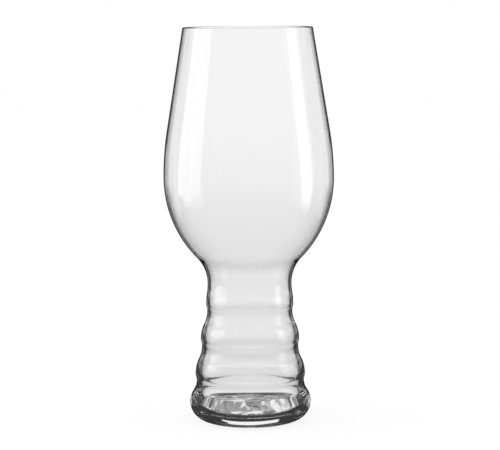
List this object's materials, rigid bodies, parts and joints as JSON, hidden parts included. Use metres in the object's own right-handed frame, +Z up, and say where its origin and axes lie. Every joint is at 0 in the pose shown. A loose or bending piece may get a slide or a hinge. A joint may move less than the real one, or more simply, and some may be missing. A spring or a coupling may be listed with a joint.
{
  "type": "beer glass",
  "caption": "Tall clear beer glass: a tulip bowl narrowing to the rim over a hollow stem with stepped ribs and a thick rounded foot.",
  "frame": {"origin": "centre of the ring that the foot rests on, at the height of the table", "axes": "+Z up along the glass's axis of turning, from the foot to the rim; X and Y are free, because the glass is round"},
  "size_m": [0.0794, 0.0794, 0.184],
  "materials": {
    "clear_glass": "clear polished glass"
  },
  "bodies": {
    "root": {"foot": "clear_glass", "ribbed_stem": "clear_glass", "bowl": "clear_glass"}
  },
  "joints": []
}
